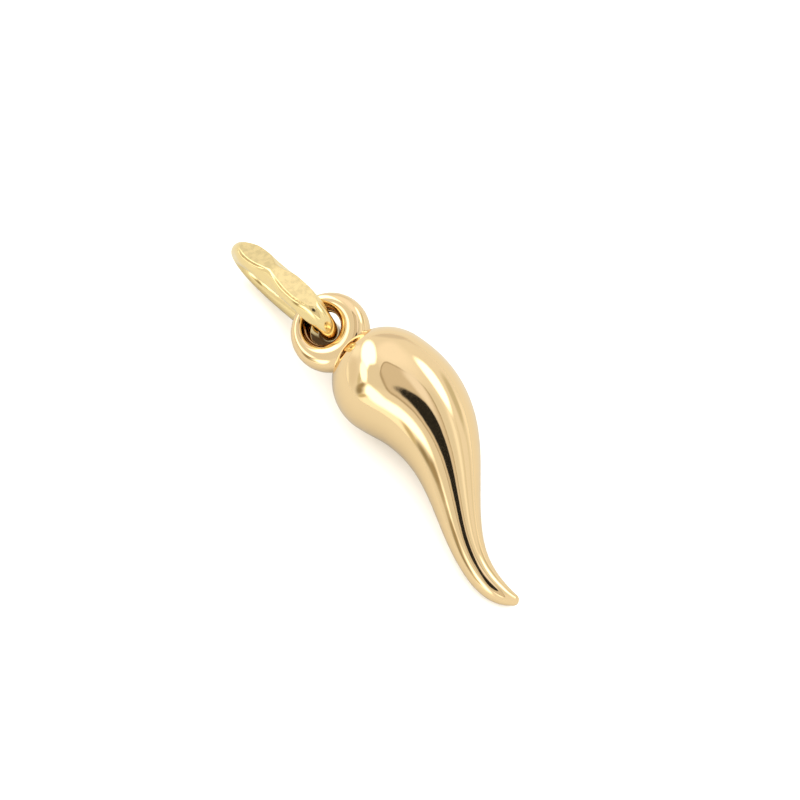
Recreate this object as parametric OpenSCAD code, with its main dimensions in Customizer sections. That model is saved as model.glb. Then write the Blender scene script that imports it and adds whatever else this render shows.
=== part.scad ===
// Horn charm pendant: a polished horn with a fat round eye on its bulb, and an oval
// bail that passes through the eye. It lies on a flat surface, the tip towards +X.
// Lengths are in millimetres and angles in degrees. The origin is on the surface,
// under the middle of the whole pendant.

/* [Horn] */
// Length from the middle of the bulb to the end of the tip
horn_length = 10.9; // [9:0.1:13]
// Diameter of the bulb where it is thickest
bulb_diameter = 4.8; // [4:0.1:6]
// Fall of the horn's axis from the bulb to the tip as it lies
horn_fall = 10.7; // [8:0.1:14]

/* [Eye] */
// Outer diameter of the eye
eye_diameter = 3.5; // [3:0.1:4.2]
// Diameter of the hole through the eye
eye_hole = 1.5; // [1.5:0.05:1.6]
// Width of the eye along its hole
eye_width = 1.3; // [1:0.05:1.4]
// How far the hole sits off the eye's middle, away from the bulb
hole_offset = 0.32; // [0.2:0.02:0.36]
// From the middle of the bulb to the middle of the eye
eye_reach = 3.45; // [3.2:0.05:3.7]
// Turn of the eye's hole about the horn's axis, from upright
eye_turn = 25; // [0:1:40]

/* [Bail] */
// Outer length of the bail
bail_length = 7.05; // [6.8:0.05:7.5]
// Outer depth of the bail, from its back wire to its broad front
bail_depth = 3.66; // [3.6:0.02:3.9]
// Thickness of the round wire at the ends and the back
wire_diameter = 0.84; // [0.7:0.02:0.9]
// Width of the two leaf-shaped lobes on the front
lobe_width = 1.2; // [0.9:0.02:1.3]
// Width of the neck between the lobes
neck_width = 0.88; // [0.8:0.02:1.2]
// From the middle of the eye to the middle of the bail
bail_reach = 3.07; // [3.05:0.02:3.15]
// Slope of the bail, down from the eye to the surface
bail_slope = 15.5; // [15:0.5:17]
// Lean of the bail to one side, from upright
bail_lean = 11; // [0:1:14]

/* [Hidden] */
// Horn: rings along the body, over the round end and over the tip, and sides of each
body_rings = 56;
round_rings = 12;
nose_rings = 4;
horn_sides = 36;
// Eye: steps round it and round its section
eye_steps = 64;
eye_sides = 22;
// Bail: steps round the loop and round the wire
bail_steps = 96;
wire_sides = 20;

// The horn's axis and thickness, a row for each control point of a smooth curve.
// along, aside and arch are shares of horn_length, thick is a share of the bulb's
// radius. arch is how far the axis bows up over the straight fall to the tip.
horn_rows = [
    // along, aside,  arch,  thick
    [0.000, -0.006,  0.000, 0.99],
    [0.083,  0.024,  0.007, 0.964],
    [0.176,  0.037,  0.015, 0.90],
    [0.290,  0.027,  0.022, 0.776],
    [0.413, -0.011,  0.026, 0.602],
    [0.541, -0.070,  0.023, 0.445],
    [0.665, -0.128,  0.013, 0.338],
    [0.780, -0.161,  0.001, 0.266],
    [0.878, -0.164, -0.005, 0.24],
    [0.949, -0.145,  0.000, 0.19],
    [0.993, -0.117,  0.004, 0.10]];

bulb_radius = bulb_diameter / 2;
wire_radius = wire_diameter / 2;
// Headings in plan, from +X: the horn's axis at the eye, and the bail's long way
eye_heading = 10;
bail_heading = 3.5;
// How far the bail's middle lies beside the line back from the eye
bail_aside = -0.12;
// How boxy the outlines are: 2 is an ellipse, more is squarer
eye_boxiness = 2.3;
bail_boxiness = 2.3;
// The two flats pressed on the front lobes, as shares of the bail's half length
flat_middles = [-0.43, 0.47];
// Depth from the wire's centre line out to each flat at its middle
flat_height = 0.28;
// Turn of the flats about the bail's long way, towards its upper side
flat_turn = 16;
// Half thickness of the front arm under the lobes
front_thickness = 0.45;

function unit(v) = v / norm(v);
function smooth_step(a, b, x) = let (t = max(0, min(1, (x - a) / (b - a)))) t * t * (3 - 2 * t);
function signed_power(x, p) = sign(x) * pow(abs(x), p);

// A smooth cubic curve through a table, t from 0 at its first row to 1 at its last
function weights(f) = [pow(1 - f, 3), 3 * f * f * f - 6 * f * f + 4,
                       -3 * f * f * f + 3 * f * f + 3 * f + 1, f * f * f] / 6;
// Before the first row the thickness is mirrored, so the body leaves the round end level
function row_before(rows) = let (row = 2 * rows[0] - rows[1])
    [row[0], row[1], row[2], rows[1][3]];
function longer_table(rows) = let (n = len(rows)) concat(
    [row_before(rows)], rows, [2 * rows[n - 1] - rows[n - 2]]);
function curve(rows, t) = let (
    knots = longer_table(rows),
    place = t * (len(rows) - 1),
    i = min(floor(place), len(rows) - 2),
    w = weights(place - i))
    w[0] * knots[i] + w[1] * knots[i + 1] + w[2] * knots[i + 2] + w[3] * knots[i + 3];

// A point of the horn's axis, from the bulb's middle, and its direction there
function axis_point(t) = let (row = curve(horn_rows, t))
    [row[0], row[1], row[2] - tan(horn_fall) * row[0]] * horn_length;
function axis_way(t) = unit(axis_point(min(1, t + 0.005)) - axis_point(max(0, t - 0.005)));
function horn_radius(t) = curve(horn_rows, t)[3] * bulb_radius;

// A ring of points square to a direction
function ring(middle, way, radius, sides) = let (
    side = unit(cross([0, 0, 1], way)),
    up = cross(way, side))
    [for (k = [0 : sides - 1]) let (a = 360 * k / sides)
        middle + radius * (cos(a) * side + sin(a) * up)];

// The round nose of the tip takes up the taper of the body, with no corner between
last_way = axis_way(1);
tip_taper = atan((horn_radius(0.98) - horn_radius(1)) / norm(axis_point(1) - axis_point(0.98)));
nose_radius = horn_radius(1) / cos(tip_taper);
nose_middle = axis_point(1) - last_way * horn_radius(1) * tan(tip_taper);

// All the rings of the horn, from the pole of its round end to the tip
first_way = axis_way(0);
horn_rings = concat(
    [for (k = [round_rings - 1 : -1 : 1]) let (a = 90 * k / round_rings)
        ring(axis_point(0) - first_way * horn_radius(0) * sin(a), first_way,
             horn_radius(0) * cos(a), horn_sides)],
    [for (k = [0 : body_rings - 1]) let (t = k / (body_rings - 1))
        ring(axis_point(t), axis_way(t), horn_radius(t), horn_sides)],
    [for (k = [1 : nose_rings - 1]) let (a = tip_taper + (90 - tip_taper) * k / nose_rings)
        ring(nose_middle + last_way * nose_radius * sin(a), last_way,
             nose_radius * cos(a), horn_sides)]);
horn_poles = [axis_point(0) - first_way * horn_radius(0), nose_middle + last_way * nose_radius];

// The eye: its axis leans over about the horn's axis, its hole sits off the middle
eye_way = [cos(eye_heading), sin(eye_heading), 0];
eye_across = [-sin(eye_heading), cos(eye_heading), 0];
eye_axis = cos(eye_turn) * [0, 0, 1] - sin(eye_turn) * eye_across;
eye_side = cross(eye_axis, eye_way);
eye_middle = -eye_way * eye_reach;
function hole_edge(a) = hole_offset * cos(a)
    + sqrt(pow(eye_hole / 2, 2) - pow(hole_offset * sin(a), 2));
function eye_section(a) = let (
    out = -eye_way * cos(a) + eye_side * sin(a),
    inner = hole_edge(a),
    middle = (eye_diameter / 2 + inner) / 2,
    half = (eye_diameter / 2 - inner) / 2)
    [for (k = [0 : eye_sides - 1]) let (b = 360 * k / eye_sides)
        eye_middle + out * (middle + half * signed_power(cos(b), 2 / eye_boxiness))
        + eye_axis * eye_width / 2 * signed_power(sin(b), 2 / eye_boxiness)];
eye_rings = [for (k = [0 : eye_steps - 1]) eye_section(360 * k / eye_steps)];

// The bail's long way points up to the eye, its upright way out of the broad front
bail_way = [cos(bail_heading) * cos(bail_slope), sin(bail_heading) * cos(bail_slope), sin(bail_slope)];
bail_level = [-sin(bail_heading), cos(bail_heading), 0];
bail_front = cos(bail_lean) * cross(bail_way, bail_level) - sin(bail_lean) * bail_level;
bail_across = cross(bail_front, bail_way);
half_long = bail_length / 2 - wire_radius;
half_deep = (bail_depth - wire_radius - front_thickness) / 2;

// The centre line of the wire, in the bail's own plane, and the way out of the loop
function loop_point(a) = [half_long * signed_power(cos(a), 2 / bail_boxiness),
                          half_deep * signed_power(sin(a), 2 / bail_boxiness)];
function loop_out(a) = let (d = unit(loop_point(a + 0.4) - loop_point(a - 0.4))) [d[1], -d[0]];

// 0 on the round wire, 1 on the broad front arm
function front_share(p) = smooth_step(0.15, 0.75, p[1] / half_deep);
// 1 at the middle of a lobe, 0 at the neck and past the ends
function lobe_share(p) = max([for (m = flat_middles)
    1 - smooth_step(0.1, 0.45, abs(p[0] / half_long - m))]);
// The neck is pinched only on its outer side, where facing is above 0
function wire_half_width(p, facing) = let (
    pinch = (1 - lobe_share(p)) * smooth_step(-0.3, 0.4, facing),
    broad = lobe_width / 2 - pinch * (lobe_width - neck_width) / 2)
    wire_radius + front_share(p) * (broad - wire_radius);
function wire_half_depth(p) = wire_radius + front_share(p) * (front_thickness - wire_radius);

// Each flat is a plane: a point on it and the way it faces, in the bail's own plane
function front_angle(share) = acos(signed_power(share, bail_boxiness / 2));
flats = [for (m = flat_middles) let (a = front_angle(m))
    [loop_point(a) + loop_out(a) * flat_height, loop_out(a)]];
// How far out from the centre line a flat lets the wire reach, beside the line by s
function flat_limit(p, out, s, flat) = let (facing = out * flat[1])
    facing < 0.3 ? wire_diameter : ((flat[0] - p) * flat[1] - s * tan(flat_turn)) / facing;

function wire_section(a) = let (
    p = loop_point(a),
    out = loop_out(a),
    deep = wire_half_depth(p))
    [for (k = [0 : wire_sides - 1]) let (
        b = 360 * k / wire_sides,
        s = wire_half_width(p, cos(b)) * sin(b),
        limit = p[1] > 0 ? min([for (f = flats) flat_limit(p, out, s, f)]) : wire_diameter,
        q = p + out * min(deep * cos(b), limit))
        bail_way * q[0] + bail_front * q[1] + bail_across * s];
bail_rings_free = [for (k = [0 : bail_steps - 1]) wire_section(360 * k / bail_steps)];

// The horn and the bail each come down until they touch the surface
function lowest(rings) = min([for (r = rings) for (p = r) p[2]]);
function furthest(rings, way) = max([for (r = rings) for (p = r) p * way]);
horn_lift = -lowest(horn_rings);
bail_middle = [eye_middle[0], eye_middle[1], 0]
    - [cos(bail_heading), sin(bail_heading), 0] * bail_reach + bail_level * bail_aside
    - [0, 0, lowest(bail_rings_free)];
bail_rings = [for (r = bail_rings_free) [for (p = r) p + bail_middle]];

// The whole pendant is centred over the origin
all_rings = concat(horn_rings, eye_rings, bail_rings);
left = -furthest(all_rings, [-1, 0, 0]);
right = furthest(all_rings, [1, 0, 0]);
front = -furthest(all_rings, [0, -1, 0]);
back = furthest(all_rings, [0, 1, 0]);
centre = [(left + right) / 2, (front + back) / 2, 0];

// Triangles between neighbouring rings; closed joins the last ring to the first
function skin(count, sides, closed) = [
    for (i = [0 : count - (closed ? 1 : 2)]) for (k = [0 : sides - 1]) let (
        j = (i + 1) % count,
        n = (k + 1) % sides)
        each [[i * sides + k, j * sides + k, j * sides + n],
              [i * sides + k, j * sides + n, i * sides + n]]];
// Fans that close the two ends of a tube onto its poles
function end_fans(count, sides) = let (
    first = count * sides,
    last = first + 1,
    end = (count - 1) * sides)
    [for (k = [0 : sides - 1]) let (n = (k + 1) % sides)
        each [[first, k, n], [last, end + n, end + k]]];
function joined(rings) = [for (r = rings) each r];

module horn_body() {
    points = concat(joined(horn_rings), horn_poles);
    faces = concat(skin(len(horn_rings), horn_sides, false), end_fans(len(horn_rings), horn_sides));
    translate([0, 0, horn_lift] - centre)
        polyhedron(points, faces, convexity = 6);
}

module eye() {
    translate([0, 0, horn_lift] - centre)
        polyhedron(joined(eye_rings), skin(eye_steps, eye_sides, true), convexity = 6);
}

// The horn with its eye soldered on, one solid
module horn() {
    color([0.93, 0.78, 0.50]) union() {
        horn_body();
        eye();
    }
}

// The closed oval bail, loose in the eye
module bail() {
    color([0.93, 0.80, 0.52])
        translate(-centre)
            polyhedron(joined(bail_rings), skin(bail_steps, wire_sides, true), convexity = 6);
}

horn();
bail();
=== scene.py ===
"""Looks of the horn charm pendant: smooth polished gold over its two solids, a white
surface under it, a white studio round it and the camera.

Lengths in the tables are in millimetres and become metres when a mesh is made."""

import math

import bpy
import numpy as np
from mathutils import Matrix, Vector


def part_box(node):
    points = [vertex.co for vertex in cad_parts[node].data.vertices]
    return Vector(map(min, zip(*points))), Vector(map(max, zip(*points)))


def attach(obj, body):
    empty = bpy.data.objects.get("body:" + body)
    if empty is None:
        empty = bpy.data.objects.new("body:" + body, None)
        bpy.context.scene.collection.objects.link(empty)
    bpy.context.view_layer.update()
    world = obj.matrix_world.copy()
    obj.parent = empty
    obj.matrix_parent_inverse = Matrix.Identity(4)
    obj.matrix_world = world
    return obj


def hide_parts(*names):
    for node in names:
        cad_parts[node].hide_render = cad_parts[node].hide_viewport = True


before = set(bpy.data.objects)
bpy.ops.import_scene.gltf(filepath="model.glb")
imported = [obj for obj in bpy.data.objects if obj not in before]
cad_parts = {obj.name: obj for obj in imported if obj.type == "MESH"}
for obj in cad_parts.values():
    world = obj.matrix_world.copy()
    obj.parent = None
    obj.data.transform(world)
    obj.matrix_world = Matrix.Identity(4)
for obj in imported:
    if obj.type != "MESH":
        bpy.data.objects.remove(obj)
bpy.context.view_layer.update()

MM = 0.001
UP = np.array([0.0, 0.0, 1.0])

# Horn
HORN_LENGTH = 10.9
BULB_RADIUS = 2.4
HORN_FALL = math.radians(10.7)
# Control points of a smooth curve: along, aside and arch are shares of the length,
# thick is a share of the bulb's radius
HORN_ROWS = np.array([
    # along, aside,  arch,  thick
    [0.000, -0.006, 0.000, 0.990],
    [0.083, 0.024, 0.007, 0.964],
    [0.176, 0.037, 0.015, 0.900],
    [0.290, 0.027, 0.022, 0.776],
    [0.413, -0.011, 0.026, 0.602],
    [0.541, -0.070, 0.023, 0.445],
    [0.665, -0.128, 0.013, 0.338],
    [0.780, -0.161, 0.001, 0.266],
    [0.878, -0.164, -0.005, 0.240],
    [0.949, -0.145, 0.000, 0.190],
    [0.993, -0.117, 0.004, 0.100]])
# Rings of points along the body, over the round end and over the nose, and sides of each
HORN_RINGS = 340
END_RINGS = 48
NOSE_RINGS = 16
HORN_SIDES = 144
# Places along the horn, 0 to 1: the step over which its way is measured, and the place
# from which the tip's taper is measured
WAY_STEP = 0.005
TAPER_FROM = 0.98
# Faces that meet at more than this angle, as along the solder line, keep a sharp edge
SEAM_ANGLE = math.radians(30)

# Eye
EYE_RADIUS = 1.75
HOLE_RADIUS = 0.75
EYE_WIDTH = 1.3
# The hole lies off the eye's middle, away from the bulb, and the eye off the bulb's middle
HOLE_OFFSET = 0.32
EYE_REACH = 3.45
EYE_TURN = math.radians(25)
EYE_HEADING = math.radians(10)
EYE_BOXINESS = 2.3
# The hole's wall has painted shade as far as this from the hole's middle, and then as far as this
# less and less
RECESS_SHADE_REACH = (0.80, 1.10)
EYE_STEPS = 240
EYE_SIDES = 80

# Bail
BAIL_LENGTH = 7.05
BAIL_DEPTH = 3.66
WIRE_RADIUS = 0.42
LOBE_WIDTH = 1.2
NECK_WIDTH = 0.88
FRONT_THICKNESS = 0.45
BAIL_SLOPE = math.radians(15.5)
BAIL_LEAN = math.radians(11)
BAIL_HEADING = math.radians(3.5)
BAIL_BOXINESS = 2.3
# The flats on the lobes: middles as shares of the half length, height over the wire's
# centre line, turn about the long way, and the roundness of the edge round each flat
FLAT_MIDDLES = (-0.43, 0.47)
FLAT_HEIGHT = 0.28
FLAT_TURN = math.radians(16)
EDGE_ROUNDNESS = 0.05
# A flat cuts the wire only where the loop faces its way by at least this cosine
LEAST_FACING = 0.3
# The fine crease along a flat's lower edge, and how far below the middle it comes in
CREASE_DEPTH = 0.05
CREASE_WIDTH = 0.07
CREASE_FADE = (0.1, 0.3)
# Where forms pass into each other: the round wire into the broad front arm, at shares of the
# half depth, a lobe into the neck, at shares of the half length from the lobe's middle, and
# the unpinched inner side into the pinched outer one, at cosines of the way out
FRONT_FADE = (0.15, 0.75)
LOBE_FADE = (0.1, 0.45)
PINCH_FADE = (-0.3, 0.4)
# The step of the loop's angle over which its way is measured
LOOP_STEP = math.radians(0.4)
BAIL_STEPS = 560
BAIL_SIDES = 128

# Camera: angles round from -Y and above the surface, distance in metres and the point it
# looks at, lens and sensor in millimetres
CAMERA_AZIMUTH = math.radians(54)
CAMERA_ELEVATION = math.radians(60)
CAMERA_DISTANCE = 0.145
CAMERA_TARGET = Vector((-0.000605, 0.000605, 0.0))
CAMERA_LENS = 150
CAMERA_SENSOR = 36

# The white surface reaches this far from the middle, in metres
FLOOR_REACH = 2.0

# Colours are linear
GOLD = (0.885, 0.655, 0.365)
BAIL_GOLD = (0.900, 0.705, 0.345)
# Painted shade along the lower edge of the bail's flats
CREASE_SHADE_COLOUR = (0.30, 0.17, 0.04)
# Painted shade on the wall round the eye's hole
RECESS_SHADE_COLOUR = (0.42, 0.21, 0.07)
STUDIO = (0.97, 0.97, 0.94)
FLOOR_COLOUR = (0.80, 0.775, 0.72)
MIRRORED_FLOOR = (0.395, 0.395, 0.375)
# The soft shadow painted on the surface under the eye, as seen and as mirrored in the gold:
# its middle, and how far it is full and reaches, in metres
SHADE_COLOUR = (0.06, 0.035, 0.016)
SEEN_SHADE = ((-0.00508, -0.00014, 0.0), 0.0006, 0.00095)
MIRRORED_SHADE = ((-0.0052, -0.0003, 0.0), 0.0010, 0.0020)
# The plain light on the surface: its least and its most brightness, and how far aside of
# the camera and above it the brightest light comes from
LIGHT_DIM = 1.3
LIGHT_BRIGHT = 2.85
LIGHT_ASIDE = 0.8
LIGHT_UP = 0.5

# Finish of the gold: roughness, and height of its waves in metres
HORN_FINISH = (0.035, 0.000003)
BAIL_FINISH = (0.07, 0.00003)
# Noise scales, per metre, for soft clouds of tone, the flats' mottling and the waves, and
# along and across the hairline polishing marks
CLOUD_SCALE = 900.0
MOTTLE_SCALE = 3200.0
WAVE_SCALE = 1300.0
MARK_SCALES = (2500.0, 30000.0, 30000.0)
# Shares of the gold's colour in dark and bright clouds and in mottling, and the share of
# their painted shade colour that creases and recesses show
CLOUD_TONES = (0.985, 1.015)
MOTTLE_TONE = 0.86
PAINTED_SHADE_SHARE = 0.9
# Values of the noise between which mottling and marks come in, and what the marks add:
# times the roughness, height in metres and strength
MOTTLE_RANGE = (0.42, 0.62)
MARK_RANGE = (0.35, 0.75)
MARK_ROUGHENING = 2.2
MARK_HEIGHT = 0.000004
MARK_STRENGTH = 0.04


def unit(v):
    return v / np.linalg.norm(v, axis=-1, keepdims=True)


def smooth_step(a, b, x):
    t = np.clip((x - a) / (b - a), 0, 1)
    return t * t * (3 - 2 * t)


def smooth_min(x, y, roundness):
    """The lower of x and y, rounded off where they cross."""
    near = np.maximum(roundness - np.abs(x - y), 0) / roundness
    return np.minimum(x, y) - near * near * roundness / 4


def signed_power(x, p):
    return np.sign(x) * np.abs(x) ** p


def dots(a, b):
    return np.sum(a * b, axis=-1)


def curve(rows, t):
    """A smooth cubic curve through a table, t from 0 at its first row to 1 at its last.

    Before the first row the thickness, the last column, is mirrored."""
    before = 2 * rows[0] - rows[1]
    before[-1] = rows[1][-1]
    knots = np.vstack([before, rows, 2 * rows[-1] - rows[-2]])
    place = np.asarray(t, float) * (len(rows) - 1)
    i = np.minimum(np.floor(place).astype(int), len(rows) - 2)
    f = (place - i)[..., None]
    weights = [(1 - f) ** 3, 3 * f ** 3 - 6 * f ** 2 + 4,
               -3 * f ** 3 + 3 * f ** 2 + 3 * f + 1, f ** 3]
    return sum(w * knots[i + k] for k, w in enumerate(weights)) / 6


def axis_point(t):
    row = curve(HORN_ROWS, t)
    fall = math.tan(HORN_FALL) * row[..., 0]
    return np.stack([row[..., 0], row[..., 1], row[..., 2] - fall], axis=-1) * HORN_LENGTH


def axis_way(t):
    t = np.asarray(t, float)
    return unit(axis_point(np.minimum(1, t + WAY_STEP)) - axis_point(np.maximum(0, t - WAY_STEP)))


def horn_radius(t):
    return curve(HORN_ROWS, t)[..., 3] * BULB_RADIUS


def ring_points(middles, ways, radii, sides):
    """Rings of points, each square to its way."""
    side = unit(np.cross(UP, ways))
    up = np.cross(ways, side)
    a = np.linspace(0, 2 * np.pi, sides, endpoint=False)
    turn = np.cos(a)[None, :, None] * side[:, None] + np.sin(a)[None, :, None] * up[:, None]
    return middles[:, None] + np.asarray(radii)[:, None, None] * turn


def horn_form():
    """The horn's rings from its round end to its tip, and the two poles."""
    first, last = axis_point(0.0), axis_point(1.0)
    first_way, last_way = axis_way(0.0), axis_way(1.0)
    end_radius, tip_radius = horn_radius(0.0), horn_radius(1.0)
    a = np.linspace(np.pi / 2, 0, END_RINGS + 1)[1:-1]
    round_end = ring_points(first - np.sin(a)[:, None] * end_radius * first_way,
                            np.tile(first_way, (len(a), 1)), end_radius * np.cos(a), HORN_SIDES)
    t = np.linspace(0, 1, HORN_RINGS)
    body = ring_points(axis_point(t), axis_way(t), horn_radius(t), HORN_SIDES)
    step = np.linalg.norm(last - axis_point(TAPER_FROM))
    taper = math.atan((horn_radius(TAPER_FROM) - tip_radius) / step)
    nose_radius = tip_radius / math.cos(taper)
    nose_middle = last - last_way * tip_radius * math.tan(taper)
    a = np.linspace(taper, np.pi / 2, NOSE_RINGS + 1)[1:-1]
    nose = ring_points(nose_middle + np.sin(a)[:, None] * nose_radius * last_way,
                       np.tile(last_way, (len(a), 1)), nose_radius * np.cos(a), HORN_SIDES)
    poles = [first - first_way * end_radius, nose_middle + last_way * nose_radius]
    return np.concatenate([round_end, body, nose]), poles


def eye_form():
    """The eye's sections, one after the other round its hole, and the hole's middle."""
    way = np.array([math.cos(EYE_HEADING), math.sin(EYE_HEADING), 0])
    across = np.array([-math.sin(EYE_HEADING), math.cos(EYE_HEADING), 0])
    axis = math.cos(EYE_TURN) * UP - math.sin(EYE_TURN) * across
    side = np.cross(axis, way)
    a = np.linspace(0, 2 * np.pi, EYE_STEPS, endpoint=False)[:, None, None]
    b = np.linspace(0, 2 * np.pi, EYE_SIDES, endpoint=False)[None, :, None]
    out = -way * np.cos(a) + side * np.sin(a)
    hole = HOLE_OFFSET * np.cos(a) + np.sqrt(HOLE_RADIUS ** 2 - (HOLE_OFFSET * np.sin(a)) ** 2)
    middle = (EYE_RADIUS + hole) / 2
    half = (EYE_RADIUS - hole) / 2
    sections = (-way * EYE_REACH
                + out * (middle + half * signed_power(np.cos(b), 2 / EYE_BOXINESS))
                + axis * EYE_WIDTH / 2 * signed_power(np.sin(b), 2 / EYE_BOXINESS))
    return sections, -way * (EYE_REACH + HOLE_OFFSET)


HALF_LONG = BAIL_LENGTH / 2 - WIRE_RADIUS
HALF_DEEP = (BAIL_DEPTH - WIRE_RADIUS - FRONT_THICKNESS) / 2


def loop_point(a):
    return np.stack([HALF_LONG * signed_power(np.cos(a), 2 / BAIL_BOXINESS),
                     HALF_DEEP * signed_power(np.sin(a), 2 / BAIL_BOXINESS)], axis=-1)


def loop_out(a):
    along = unit(loop_point(a + LOOP_STEP) - loop_point(a - LOOP_STEP))
    return np.stack([along[..., 1], -along[..., 0]], axis=-1)


def bail_form():
    """The wire's sections, one after the other round the loop, lobes and flats included.

    Beside the points it gives how far each lies in a crease, and on a flat, 0 to 1."""
    way = np.array([math.cos(BAIL_HEADING) * math.cos(BAIL_SLOPE),
                    math.sin(BAIL_HEADING) * math.cos(BAIL_SLOPE), math.sin(BAIL_SLOPE)])
    level = np.array([-math.sin(BAIL_HEADING), math.cos(BAIL_HEADING), 0])
    front = math.cos(BAIL_LEAN) * np.cross(way, level) - math.sin(BAIL_LEAN) * level
    across = np.cross(front, way)
    a = np.linspace(0, 2 * np.pi, BAIL_STEPS, endpoint=False)
    b = np.linspace(0, 2 * np.pi, BAIL_SIDES, endpoint=False)[None, :]
    p, out = loop_point(a), loop_out(a)
    broad_front = smooth_step(*FRONT_FADE, p[:, 1] / HALF_DEEP)
    lobe = np.max([1 - smooth_step(*LOBE_FADE, np.abs(p[:, 0] / HALF_LONG - m))
                   for m in FLAT_MIDDLES], axis=0)
    deep = WIRE_RADIUS + broad_front * (FRONT_THICKNESS - WIRE_RADIUS)
    pinch = (1 - lobe)[:, None] * smooth_step(*PINCH_FADE, np.cos(b))
    broad = LOBE_WIDTH / 2 - pinch * (LOBE_WIDTH - NECK_WIDTH) / 2
    beside = (WIRE_RADIUS + broad_front[:, None] * (broad - WIRE_RADIUS)) * np.sin(b)
    reach = deep[:, None] * np.cos(b)
    crease, flat = np.zeros_like(reach), np.zeros_like(reach)
    for middle in FLAT_MIDDLES:
        turn = math.acos(signed_power(middle, BAIL_BOXINESS / 2))
        face = loop_out(turn)
        height = dots(loop_point(turn) + face * FLAT_HEIGHT - p, face)[:, None]
        facing = dots(out, face)[:, None]
        limit = (height - beside * math.tan(FLAT_TURN)) / np.maximum(facing, LEAST_FACING)
        limit = np.where((facing > LEAST_FACING) & (p[:, 1:] > 0), limit, 2 * WIRE_RADIUS)
        near = np.maximum(1 - np.abs(reach - limit) / CREASE_WIDTH, 0)
        creased = smooth_step(*CREASE_FADE, -beside) * near ** 2
        crease = np.maximum(crease, creased)
        flat = np.maximum(flat, smooth_step(0.0, 0.05, reach - limit))
        reach = smooth_min(reach, limit, EDGE_ROUNDNESS) - CREASE_DEPTH * creased
    q = p[:, None] + out[:, None] * reach[..., None]
    points = way * q[..., :1] + front * q[..., 1:] + across * beside[..., None]
    return points, crease, flat


def placed(points, node):
    """The shift that sets a form on its solid's own place: its middle, and its foot."""
    low, high = (np.array(corner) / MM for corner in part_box(node))
    own_low, own_high = points.min(0), points.max(0)
    shift = (low + high - own_low - own_high) / 2
    shift[2] = low[2] - own_low[2]
    return shift


def tube_faces(count, sides, closed):
    i, k = np.meshgrid(np.arange(count if closed else count - 1), np.arange(sides), indexing="ij")
    j, n = (i + 1) % count, (k + 1) % sides
    quads = [i * sides + k, j * sides + k, j * sides + n, i * sides + n]
    return np.stack(quads, axis=-1).reshape(-1, 4).tolist()


def fan_faces(count, sides):
    first, last, end = count * sides, count * sides + 1, (count - 1) * sides
    fans = []
    for k in range(sides):
        n = (k + 1) % sides
        fans.append([first, k, n])
        fans.append([last, end + n, end + k])
    return fans


def smooth_object(name, points, faces):
    mesh = bpy.data.meshes.new(name)
    mesh.from_pydata((points * MM).tolist(), [], faces)
    mesh.shade_smooth()
    mesh.validate()
    piece = bpy.data.objects.new(name, mesh)
    bpy.context.scene.collection.objects.link(piece)
    return piece


def fused(piece, other):
    """piece with other united to it, as one closed skin with a crease where they met."""
    union = piece.modifiers.new("solder", "BOOLEAN")
    union.operation = "UNION"
    union.solver = "EXACT"
    union.object = other
    seen = piece.evaluated_get(bpy.context.evaluated_depsgraph_get())
    mesh = bpy.data.meshes.new_from_object(seen)
    piece.modifiers.clear()
    piece.data = mesh
    bpy.data.objects.remove(other)
    mesh.shade_smooth()
    mesh.set_sharp_from_angle(angle=SEAM_ANGLE)
    return piece


def add_share(piece, name, share):
    """Keep a share, 0 to 1, at each of a piece's points for its material."""
    attribute = piece.data.attributes.new(name, "FLOAT", "POINT")
    attribute.data.foreach_set("value", share.ravel())


def make_horn():
    rings, poles = horn_form()
    eye, hole_middle = eye_form()
    body_points = np.vstack([rings.reshape(-1, 3), poles])
    shift = placed(np.vstack([body_points, eye.reshape(-1, 3)]), "horn")
    body_faces = tube_faces(len(rings), HORN_SIDES, False) + fan_faces(len(rings), HORN_SIDES)
    body = smooth_object("horn_polished", body_points + shift, body_faces)
    ring = smooth_object("eye_polished", eye.reshape(-1, 3) + shift,
                         tube_faces(EYE_STEPS, EYE_SIDES, True))
    horn = fused(body, ring)
    points = np.empty(len(horn.data.vertices) * 3)
    horn.data.vertices.foreach_get("co", points)
    off = np.linalg.norm(points.reshape(-1, 3) / MM - hole_middle - shift, axis=-1)
    # Painted shade on the wall round the eye's hole, full near the hole and fading outwards
    add_share(horn, "recess", 1 - smooth_step(*RECESS_SHADE_REACH, off))
    return horn


def make_bail():
    rings, crease, flat = bail_form()
    points = rings.reshape(-1, 3)
    faces = tube_faces(BAIL_STEPS, BAIL_SIDES, True)
    piece = smooth_object("bail_polished", points + placed(points, "bail"), faces)
    add_share(piece, "crease", crease)
    add_share(piece, "flat", flat)
    return piece


def make_floor():
    far = FLOOR_REACH
    corners = [(-far, -far, 0), (far, -far, 0), (far, far, 0), (-far, far, 0)]
    mesh = bpy.data.meshes.new("surface")
    mesh.from_pydata(corners, [], [(0, 1, 2, 3)])
    floor = bpy.data.objects.new("surface", mesh)
    bpy.context.scene.collection.objects.link(floor)
    return floor


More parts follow.
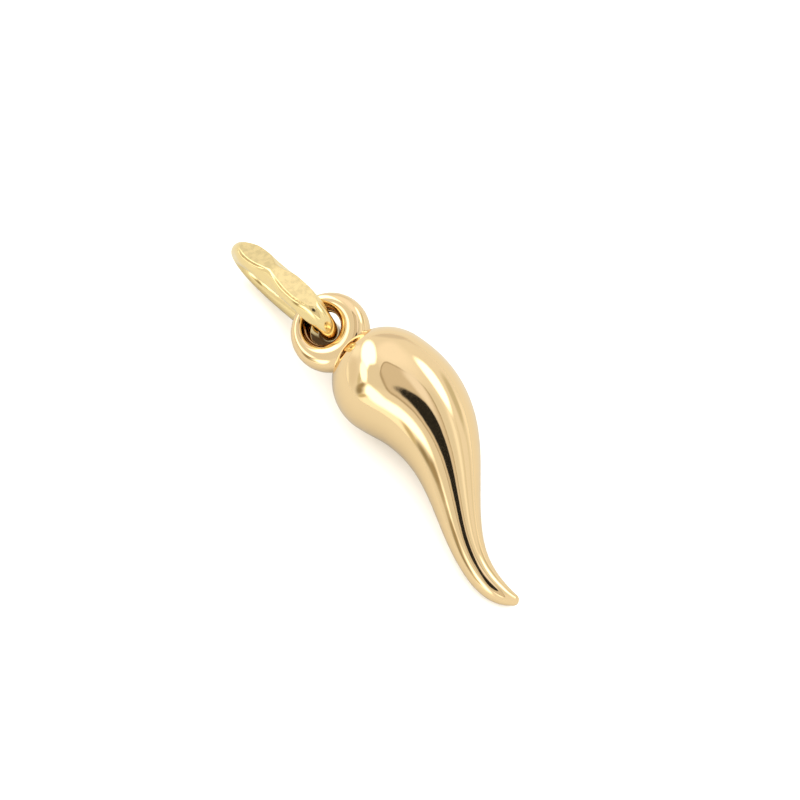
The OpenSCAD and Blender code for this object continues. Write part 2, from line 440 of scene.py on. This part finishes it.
class Nodes:
    """Short ways to build a node tree."""

    def __init__(self, tree):
        self.tree = tree
        tree.nodes.clear()

    def add(self, kind, inputs=(), **settings):
        node = self.tree.nodes.new(kind)
        for name, value in settings.items():
            setattr(node, name, value)
        for name, value in dict(inputs).items():
            if isinstance(value, bpy.types.NodeSocket):
                self.tree.links.new(value, node.inputs[name])
            else:
                node.inputs[name].default_value = value
        return node

    def mixed(self, share, a, b):
        """Colour a, and b by its share."""
        a, b = (c if isinstance(c, bpy.types.NodeSocket) else (*c, 1) for c in (a, b))
        node = self.add("ShaderNodeMix", {"Factor": share}, data_type="RGBA", clamp_factor=True)
        for name, colour in (("A", a), ("B", b)):
            socket = next(i for i in node.inputs if i.name == name and i.type == "RGBA")
            if isinstance(colour, bpy.types.NodeSocket):
                self.tree.links.new(colour, socket)
            else:
                socket.default_value = colour
        return next(o for o in node.outputs if o.type == "RGBA")

    def noise(self, place, scale, detail):
        node = self.add("ShaderNodeTexNoise", {"Vector": place, "Scale": scale,
                                               "Detail": detail})
        return node.outputs["Fac"]

    def mapped(self, value, low, high, new_low, new_high, way="LINEAR"):
        """A value from low to high turned into one from new_low to new_high."""
        node = self.add("ShaderNodeMapRange", {"Value": value, "From Min": low,
                                               "From Max": high, "To Min": new_low,
                                               "To Max": new_high}, interpolation_type=way)
        return node.outputs["Result"]

    def math(self, operation, a, b=0.0):
        return self.add("ShaderNodeMath", {0: a, 1: b}, operation=operation).outputs[0]

    def vector(self, operation, a, b=(0, 0, 0)):
        node = self.add("ShaderNodeVectorMath", {0: a, 1: b}, operation=operation)
        return node.outputs["Value" if operation in ("DOT_PRODUCT", "LENGTH") else "Vector"]


def polished_gold(name, colour, finish):
    """Polished gold: a warm mirror with hairline polishing marks and faint waves.

    It has painted shade in a crease or a recess and is mottled on a flat, where a piece has
    those attributes."""
    roughness, wave_height = finish
    material = bpy.data.materials.new(name)
    material.use_nodes = True
    n = Nodes(material.node_tree)
    place = n.add("ShaderNodeTexCoord").outputs["Object"]
    flat, crease, recess = (n.add("ShaderNodeAttribute", attribute_name=share).outputs["Fac"]
                            for share in ("flat", "crease", "recess"))
    clouds = n.noise(place, CLOUD_SCALE, 3.0)
    dark, bright = ([min(1, c * tone) for c in colour] for tone in CLOUD_TONES)
    tone = n.mixed(clouds, dark, bright)
    dents = n.noise(place, MOTTLE_SCALE, 1.5)
    mottle = n.math("MULTIPLY", flat, n.mapped(dents, *MOTTLE_RANGE, 0.0, 1.0))
    tone = n.mixed(mottle, tone, [c * MOTTLE_TONE for c in colour])
    # Painted shade along the bail's creases
    tone = n.mixed(n.math("MULTIPLY", crease, PAINTED_SHADE_SHARE), tone, CREASE_SHADE_COLOUR)
    # Painted shade on the wall round the eye's hole
    tone = n.mixed(n.math("MULTIPLY", recess, PAINTED_SHADE_SHARE), tone, RECESS_SHADE_COLOUR)
    stretched = n.add("ShaderNodeMapping", {"Vector": place, "Scale": MARK_SCALES})
    marks = n.noise(stretched.outputs[0], 1.0, 2.0)
    roughened = n.mapped(marks, *MARK_RANGE, roughness, roughness * MARK_ROUGHENING)
    waves = n.add("ShaderNodeBump", {"Height": n.noise(place, WAVE_SCALE, 1.0),
                                     "Strength": 1.0,
                                     "Distance": wave_height})
    bump = n.add("ShaderNodeBump", {"Height": marks,
                                    "Strength": MARK_STRENGTH,
                                    "Distance": MARK_HEIGHT,
                                    "Normal": waves.outputs["Normal"]})
    shader = n.add("ShaderNodeBsdfPrincipled", {"Base Color": tone,
                                                "Metallic": 1.0,
                                                "Roughness": roughened,
                                                "Normal": bump.outputs["Normal"]})
    n.add("ShaderNodeOutputMaterial", {"Surface": shader.outputs[0]})
    return material


def shade_share(n, place, shade):
    """How much of a shade lies at a place, 0 to 1."""
    middle, core, edge = shade
    off = n.vector("LENGTH", n.vector("SUBTRACT", place, middle))
    return n.mapped(off, core, edge, 1.0, 0.0, "SMOOTHSTEP")


def surface_material():
    """A matt white photo surface with a painted shadow under the eye, less bright where gold
    mirrors it.
    """
    material = bpy.data.materials.new("white_surface")
    material.use_nodes = True
    n = Nodes(material.node_tree)
    place = n.add("ShaderNodeTexCoord").outputs["Object"]
    # Painted shadow under the eye, as seen and as mirrored in the gold
    seen = n.mixed(shade_share(n, place, SEEN_SHADE), FLOOR_COLOUR, SHADE_COLOUR)
    mirrored = n.mixed(shade_share(n, place, MIRRORED_SHADE), MIRRORED_FLOOR, SHADE_COLOUR)
    glossy = n.add("ShaderNodeLightPath").outputs["Is Glossy Ray"]
    shader = n.add("ShaderNodeBsdfPrincipled", {"Base Color": n.mixed(glossy, seen, mirrored),
                                                "Roughness": 1.0,
                                                "Specular IOR Level": 0.0})
    n.add("ShaderNodeOutputMaterial", {"Surface": shader.outputs[0]})
    return material


# What stands round the pendant, seen from it: x is degrees to the right of the camera and
# y degrees above it. Each panel covers those before it. corners is 1 for an ellipse, 2 and
# 3 for squarer forms, soft is the share of its size over which its edge fades.
PANELS = [
    # name,             x,   y, half_x, half_y, turn, corners, soft, (red, green, blue)
    ("top_band",       10, 111,  52,    8,   -8,   1, 0.5, (0.78, 0.76, 0.74)),
    ("bright_back",     5,  66,  27,   25,    0,   1, 0.4, (1.12, 1.12, 1.13)),
    ("cream_top",     -72,  72,  11,   18,    0,   1, 0.5, (1.14, 1.17, 1.15)),
    ("brown_left",    -77,  22,  13,   34,    0,   1, 0.5, (0.88, 0.86, 0.80)),
    ("cream_arc",     -91,  18,   4,   24,    5,   1, 0.5, (1.14, 1.15, 1.10)),
    ("olive_left",    -60,   6,   4,   16,  -10,   1, 0.6, (0.74, 0.72, 0.58)),
    ("cream_step",    -35,  -3,  10,    5,   15,   1, 0.5, (1.20, 1.18, 1.12)),
    ("left_window",   -41,  62,  17,   37,    9,   1, 0.18, (2.6, 2.6, 2.6)),
    ("left_strip",    -50,  20,   8,   23,    9,   1, 0.25, (2.1, 2.1, 2.1)),
    ("grey_block",    -28,  14,  13,   23,    0,   2, 0.18, (0.88, 0.88, 0.84)),
    ("right_dim",      29,  24,   9,   13,    0,   1, 0.4, (0.87, 0.88, 0.84)),
    ("window_foot",    45,  18,   4,   15,    0,   1, 0.5, (1.16, 1.18, 1.15)),
    ("right_window",   46,  52,  10,   20,   15,   1, 0.2, (2.6, 2.6, 2.6)),
    ("right_olive",    74,  49,   8,   20,   10,   1, 0.4, (0.68, 0.67, 0.56)),
    ("right_line",     56,  17,   3,   13,    0,   1, 0.5, (0.86, 0.85, 0.78)),
    ("far_line",       82,  20,   3,   12,    0,   1, 0.5, (0.86, 0.86, 0.78)),
    ("right_cream",    92,  32,   5,   24,   22,   1, 0.6, (1.13, 1.13, 1.08)),
    ("low_cream",     -55, -42,   9,   17,    0,   1, 0.5, (1.15, 1.18, 1.10)),
    ("low_glow",      -42, -33,  13,   19,    0,   1, 0.5, (1.35, 1.33, 1.25)),
    ("low_window",    -37, -24,   9,   16,   10,   1, 0.3, (2.4, 2.4, 2.4)),
    ("low_band",       -4, -17,  11,   13,    0,   1, 0.3, (1.7, 1.7, 1.7)),
    ("brown_spot",    -60, -19,   8,   10,    0,   1, 0.7, (0.36, 0.32, 0.22)),
    ("brown_tail",    -55,  -9,   9,    5,   25,   1, 0.6, (0.42, 0.36, 0.24)),
    ("olive_low",     -54, -31,   9,    4,    5,   1, 0.6, (0.68, 0.62, 0.44)),
    ("frame",           2,  10,  19,   31,  -13,   2, 0.04, (0.50, 0.44, 0.36)),
    ("camera_panel",    2,  10,  17,   29,  -13,   2, 0.06, (0.76, 0.72, 0.66)),
    ("panel_light",    14,  29,   6,   14,  -10,   1, 0.5, (1.04, 1.04, 1.08)),
    ("lens",           -1,   6,  15,    7,   40,   1, 0.12, (0.02, 0.02, 0.02)),
]


def camera_ways():
    """The ways from the pendant to the camera, to its right and to its top."""
    sin_a, cos_a = math.sin(CAMERA_AZIMUTH), math.cos(CAMERA_AZIMUTH)
    sin_e, cos_e = math.sin(CAMERA_ELEVATION), math.cos(CAMERA_ELEVATION)
    back = Vector((sin_a * cos_e, -cos_a * cos_e, sin_e))
    right = Vector((cos_a, sin_a, 0))
    return back, right, back.cross(right)


def panel_share(n, place, panel):
    """How much of a panel is seen in a direction, 0 to 1."""
    _, x, y, half_x, half_y, turn, corners, soft, _ = panel
    inside = n.add("ShaderNodeMapping", {"Vector": place, "Location": (x, y, 0),
                                         "Rotation": (0, 0, math.radians(turn)),
                                         "Scale": (half_x, half_y, 1)}, vector_type="TEXTURE")
    spread = inside.outputs[0]
    for _ in range(corners - 1):
        spread = n.vector("MULTIPLY", spread, inside.outputs[0])
    radius = n.vector("LENGTH", spread)
    if corners > 1:
        radius = n.math("POWER", radius, 1 / corners)
    return n.mapped(radius, 1 - soft, 1 + soft, 1.0, 0.0, "SMOOTHSTEP")


def make_studio():
    """The light all round: plain for the surface, and for what the gold mirrors a white
    studio with windows, panels and the dark lens."""
    world = bpy.data.worlds.new("studio")
    bpy.context.scene.world = world
    world.use_nodes = True
    n = Nodes(world.node_tree)
    way = n.add("ShaderNodeTexCoord").outputs["Generated"]
    back, right, top = camera_ways()
    off_axis = n.math("ARCCOSINE", n.vector("DOT_PRODUCT", way, tuple(back)))
    degrees = n.math("MULTIPLY", off_axis, 180 / math.pi)
    u = n.vector("DOT_PRODUCT", way, tuple(right))
    v = n.vector("DOT_PRODUCT", way, tuple(top))
    length = n.math("SQRT", n.math("ADD", n.math("MULTIPLY", u, u), n.math("MULTIPLY", v, v)))
    scale = n.math("DIVIDE", degrees, n.math("MAXIMUM", length, 1e-6))
    place = n.add("ShaderNodeCombineXYZ", {"X": n.math("MULTIPLY", u, scale),
                                           "Y": n.math("MULTIPLY", v, scale)}).outputs[0]
    light = STUDIO
    for panel in PANELS:
        light = n.mixed(panel_share(n, place, panel), light, panel[-1])
    glossy = n.add("ShaderNodeLightPath").outputs["Is Glossy Ray"]
    main_way = (right * LIGHT_ASIDE + top * LIGHT_UP + back).normalized()
    facing = n.vector("DOT_PRODUCT", way, tuple(main_way))
    brightness = n.mapped(facing, -1.0, 1.0, LIGHT_DIM, LIGHT_BRIGHT)
    plain = n.add("ShaderNodeBackground", {"Color": (1, 1, 1, 1), "Strength": brightness})
    panels = n.add("ShaderNodeBackground", {"Color": light})
    both = n.add("ShaderNodeMixShader", {0: glossy, 1: plain.outputs[0], 2: panels.outputs[0]})
    n.add("ShaderNodeOutputWorld", {"Surface": both.outputs[0]})


def make_camera():
    data = bpy.data.cameras.new("camera")
    data.lens = CAMERA_LENS
    data.sensor_width = CAMERA_SENSOR
    data.clip_start = 0.01
    data.clip_end = 10
    camera = bpy.data.objects.new("camera", data)
    bpy.context.scene.collection.objects.link(camera)
    back, right, top = camera_ways()
    turn = Matrix((right, top, back)).transposed().to_4x4()
    camera.matrix_world = Matrix.Translation(CAMERA_TARGET + back * CAMERA_DISTANCE) @ turn
    bpy.context.scene.camera = camera


def dress(piece, node, material):
    """piece takes a solid's place, with its own finish."""
    piece.data.materials.clear()
    piece.data.materials.append(material)
    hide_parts(node)
    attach(piece, "root")


horn_gold = polished_gold("polished_gold", GOLD, HORN_FINISH)
bail_gold = polished_gold("bail_gold", BAIL_GOLD, BAIL_FINISH)
for node, material in (("horn", horn_gold), ("bail", bail_gold)):
    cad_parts[node].data.materials.clear()
    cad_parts[node].data.materials.append(material)
dress(make_horn(), "horn", horn_gold)
dress(make_bail(), "bail", bail_gold)
make_floor().data.materials.append(surface_material())
make_studio()
make_camera()
bpy.context.scene.view_settings.view_transform = "Standard"
